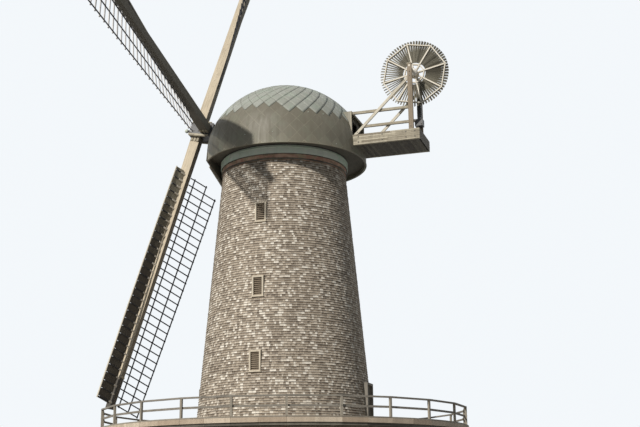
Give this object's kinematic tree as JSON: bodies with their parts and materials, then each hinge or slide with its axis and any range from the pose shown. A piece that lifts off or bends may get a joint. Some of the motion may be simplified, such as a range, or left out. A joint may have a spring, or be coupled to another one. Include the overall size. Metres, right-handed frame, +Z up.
{
  "type": "traditional windmill",
  "caption": "Round shingled tower mill with a timber gallery, turning domed copper cap, tilted lattice sails and a fantail.",
  "frame": {"origin": "on the ground at the tower's axis, at the middle of the foundation's underside", "axes": "+Z up; the sails face -Y, the fantail is at +Y, louvred windows face +X and -X"},
  "size_m": [30.452, 17.6632, 35.9282],
  "materials": {
    "shingle": "weathered grey-brown shingles",
    "timber": "weathered pale timber",
    "dark_timber": "dark weathered board",
    "rail_timber": "weathered grey timber",
    "rim_timber": "brown weathered timber",
    "copper": "dull brown-green patinated copper sheet",
    "verdigris": "green patinated copper",
    "frieze": "faded red-brown paint",
    "iron": "dark iron",
    "window_paint": "faded pale paint",
    "stone": "rough concrete"
  },
  "bodies": {
    "tower": {"foundations": "stone", "base_wall": "shingle", "lower_wall": "shingle", "middle_wall": "shingle", "upper_wall": "shingle", "tower_floors": "timber", "window_frames": "window_paint", "window_louvres": "window_paint", "door_frames": "window_paint", "door_leaves": "dark_timber", "frieze_band": "frieze", "curb_band": "verdigris", "curb_track": "iron", "gallery_deck": "rail_timber", "gallery_rim": "rim_timber", "gallery_bearers": "rim_timber", "gallery_ring_beam": "rim_timber", "gallery_posts": "rim_timber", "rail_posts": "rail_timber", "gallery_rails": "rail_timber"},
    "cap": {"dome": "copper", "cap_front": "dark_timber", "cap_soffit": "dark_timber", "cap_live_ring": "iron", "cap_floor": "timber", "stage_beams": "timber", "stage_deck": "dark_timber", "stage_porch": "copper", "rear_wall": "dark_timber", "fan_posts": "timber", "fan_bearings": "iron", "fan_drive": "iron", "fan_braces": "timber", "stage_handrails": "timber", "shaft_beams": "timber"},
    "sails": {"windshaft": "iron", "poll_end": "iron", "stock_outer": "timber", "sail_lattices_outer": "timber", "sail_windboards_outer": "dark_timber", "stock_inner": "timber", "sail_lattices_inner": "timber", "sail_windboards_inner": "dark_timber"},
    "fantail": {"fan_axle": "iron", "fan_frame": "timber", "fan_slats": "timber"}
  },
  "joints": [
    {"name": "cap_yaw", "type": "hinge", "parent": "tower", "child": "cap", "pos_m": [0, 0, 18.82], "axis": [0, 0, 1], "continuous": true},
    {"name": "sail_spin", "type": "hinge", "parent": "cap", "child": "sails", "pos_m": [0, -4.543, 21.051], "axis": [0, -0.9816, 0.1908], "continuous": true},
    {"name": "fan_spin", "type": "hinge", "parent": "cap", "child": "fantail", "pos_m": [0, 6.97, 22.88], "axis": [1, 0, 0], "continuous": true}
  ]
}
